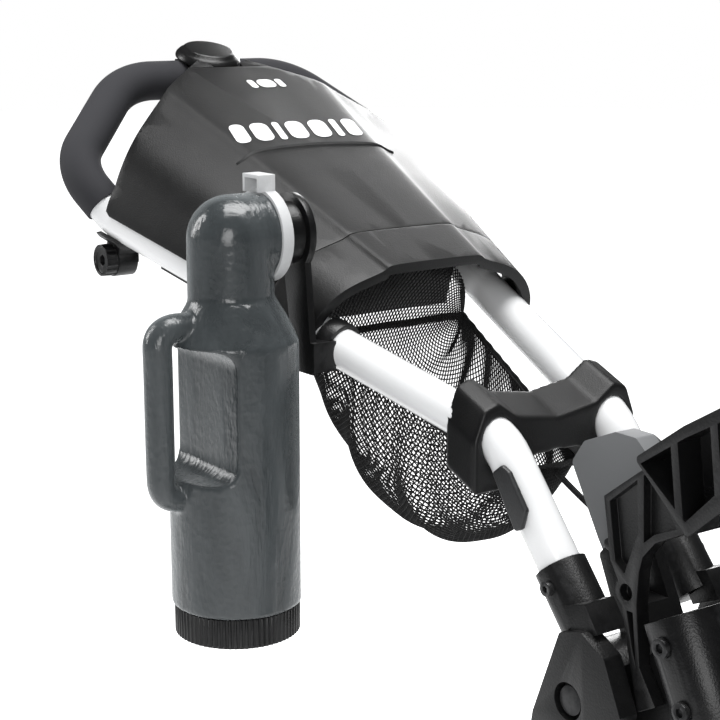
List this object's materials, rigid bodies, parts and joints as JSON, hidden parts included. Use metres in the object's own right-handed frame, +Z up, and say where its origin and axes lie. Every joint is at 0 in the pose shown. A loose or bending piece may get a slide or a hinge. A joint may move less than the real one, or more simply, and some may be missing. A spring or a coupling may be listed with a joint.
{
  "type": "golf push trolley",
  "caption": "Folding three-wheeled golf push trolley with a lidded console, looped grip, net basket, hanging bottle, bag cradle and bag shelf.",
  "frame": {"origin": "on the ground under the middle of the overall box", "axes": "+X forward in the direction of travel, +Y to the left, +Z up"},
  "size_m": [1.18, 0.658, 1.0428],
  "materials": {
    "white_tube": "gloss white powder coat on steel tube",
    "black_plastic": "fine-textured moulding",
    "grey_plastic": "satin moulding",
    "grip_foam": "soft foam grip",
    "smoke_bottle": "smoky translucent blow moulding",
    "black_cap": "ribbed screw cap",
    "white_rubber": "soft white strap",
    "net": "open diamond net",
    "cord": "braided elastic cord",
    "tyre_rubber": "airless tyre",
    "rim_plastic": "grey spoked moulding",
    "steel": "zinc-plated"
  },
  "bodies": {
    "frame": {"upper_hub": "black_plastic", "hinge_pin": "steel", "frame_fasteners": "steel", "cradle_bridge": "steel", "centre_hub": "black_plastic", "hub_pins": "steel", "main_tube_left": "white_tube", "main_tube_right": "white_tube", "cradle_plate_left": "black_plastic", "cradle_plate_right": "black_plastic", "cradle_arm_left": "black_plastic", "cradle_arm_right": "black_plastic"},
    "handle": {"handle_tube_left": "white_tube", "handle_tube_right": "white_tube", "grip_left": "grip_foam", "grip_right": "grip_foam", "handle_yoke_left": "black_plastic", "handle_yoke_right": "black_plastic", "accessory_brackets": "black_plastic", "umbrella_socket": "black_plastic", "console_visor": "black_plastic", "console_rear_panel": "black_plastic", "console_tray": "black_plastic", "saddle": "black_plastic", "clamp_tabs": "grey_plastic", "bottle_bracket": "black_plastic", "mesh_basket": "net", "basket_cord": "cord", "handle_screws": "steel"},
    "console_lid": {"console_lid": "black_plastic"},
    "umbrella_cap": {"umbrella_cap": "black_plastic"},
    "knob_right": {"knob_right": "black_plastic"},
    "bottle": {"bottle": "smoke_bottle", "bottle_ring": "white_rubber"},
    "bottle_base_cap": {"bottle_base_cap": "black_cap"},
    "latch_lever": {"latch_lever": "grey_plastic"},
    "front_leg": {"front_knuckle": "black_plastic", "front_tube": "white_tube", "front_fork": "black_plastic", "bag_shelf": "black_plastic", "front_axle": "steel"},
    "front_wheel": {"front_wheel_tyre": "tyre_rubber", "front_wheel_rim": "rim_plastic", "front_wheel_bearings": "steel"},
    "left_leg": {"leg_knuckle_left": "black_plastic", "rear_leg_left": "white_tube", "wheel_bracket_left": "black_plastic", "rear_axle_left": "steel", "brake_mount": "black_plastic"},
    "right_leg": {"leg_knuckle_right": "black_plastic", "rear_leg_right": "white_tube", "wheel_bracket_right": "black_plastic", "rear_axle_right": "steel"},
    "left_wheel": {"wheel_left_tyre": "tyre_rubber", "wheel_left_rim": "rim_plastic", "wheel_left_bearings": "steel"},
    "right_wheel": {"wheel_right_tyre": "tyre_rubber", "wheel_right_rim": "rim_plastic", "wheel_right_bearings": "steel"},
    "brake_pedal": {"brake_pedal": "black_plastic"}
  },
  "joints": [
    {"name": "handle_fold", "type": "hinge", "parent": "frame", "child": "handle", "pos_m": [-0.026, 0, 0.665], "axis": [0, 1, 0], "range_deg": [-65, 5]},
    {"name": "console_lid_hinge", "type": "hinge", "parent": "handle", "child": "console_lid", "pos_m": [-0.29197, 0, 0.91932], "axis": [0, 1, 0], "range_deg": [0, 95]},
    {"name": "umbrella_cap_lift", "type": "slide", "parent": "handle", "child": "umbrella_cap", "axis": [0.2924, 0, 0.9563], "range_m": [0, 0.03]},
    {"name": "knob_right_turn", "type": "hinge", "parent": "handle", "child": "knob_right", "pos_m": [-0.47487, -0.13, 0.88373], "axis": [0, 1, 0], "continuous": true},
    {"name": "bottle_pull_off", "type": "slide", "parent": "handle", "child": "bottle", "axis": [0, -1, 0], "range_m": [0, 0.06]},
    {"name": "bottle_base_unscrew", "type": "hinge", "parent": "bottle", "child": "bottle_base_cap", "pos_m": [-0.27, -0.154, 0.666], "axis": [0, 0, 1], "continuous": true},
    {"name": "latch_lever_lift", "type": "hinge", "parent": "frame", "child": "latch_lever", "pos_m": [-0.05, 0, 0.748], "axis": [0, 1, 0], "range_deg": [0, 35], "stiffness_Nm_per_rad": 0.25, "springref_deg": -20.05},
    {"name": "front_fold", "type": "hinge", "parent": "frame", "child": "front_leg", "pos_m": [0.1805, 0, 0.48], "axis": [0, -1, 0], "range_deg": [0, 120]},
    {"name": "front_wheel_spin", "type": "hinge", "parent": "front_leg", "child": "front_wheel", "pos_m": [0.444, 0, 0.146], "axis": [0, 1, 0], "continuous": true},
    {"name": "left_leg_swing", "type": "hinge", "parent": "frame", "child": "left_leg", "pos_m": [0.13, 0.064, 0.442], "axis": [-0.5858, 0, 0.8104], "range_deg": [0, 20]},
    {"name": "right_leg_swing", "type": "hinge", "parent": "frame", "child": "right_leg", "pos_m": [0.13, -0.064, 0.442], "axis": [0.5858, 0, -0.8104], "range_deg": [0, 20]},
    {"name": "left_wheel_spin", "type": "hinge", "parent": "left_leg", "child": "left_wheel", "pos_m": [-0.2795, 0.294, 0.146], "axis": [0, 1, 0], "continuous": true},
    {"name": "right_wheel_spin", "type": "hinge", "parent": "right_leg", "child": "right_wheel", "pos_m": [-0.2795, -0.294, 0.146], "axis": [0, 1, 0], "continuous": true},
    {"name": "brake_press", "type": "hinge", "parent": "left_leg", "child": "brake_pedal", "pos_m": [-0.3135, 0.252, 0.186], "axis": [0, -1, 0], "range_deg": [0, 12], "stiffness_Nm_per_rad": 0.4, "springref_deg": -22.92}
  ],
  "couplings": [
    {"joint": "left_leg_swing", "follows": "front_fold", "ratio": 0.16667},
    {"joint": "right_leg_swing", "follows": "front_fold", "ratio": 0.16667}
  ]
}
